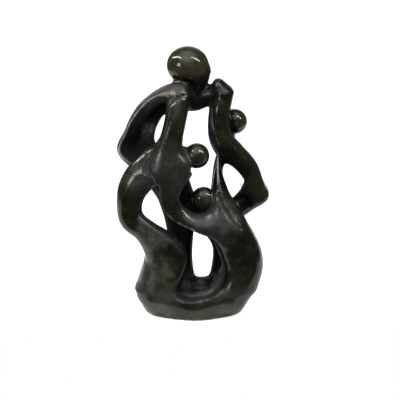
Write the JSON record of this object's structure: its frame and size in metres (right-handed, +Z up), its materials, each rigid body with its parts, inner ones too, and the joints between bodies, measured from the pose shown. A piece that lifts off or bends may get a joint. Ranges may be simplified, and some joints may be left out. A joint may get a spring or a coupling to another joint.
{
  "type": "stone family sculpture",
  "caption": "Tall abstract carving of a family in dark polished stone, with round plain heads, flowing limbs, open gaps between them and a heavy flat foot.",
  "frame": {"origin": "under the middle of the carving, on the surface that it stands on", "axes": "+Z up, -Y out of the front, +X to the right as seen from the front"},
  "size_m": [0.23, 0.125, 0.403],
  "materials": {
    "polished_stone": "polished and waxed, near black with olive and grey mottling and a fine fleck"
  },
  "bodies": {
    "root": {"family_carving": "polished_stone"}
  },
  "joints": []
}
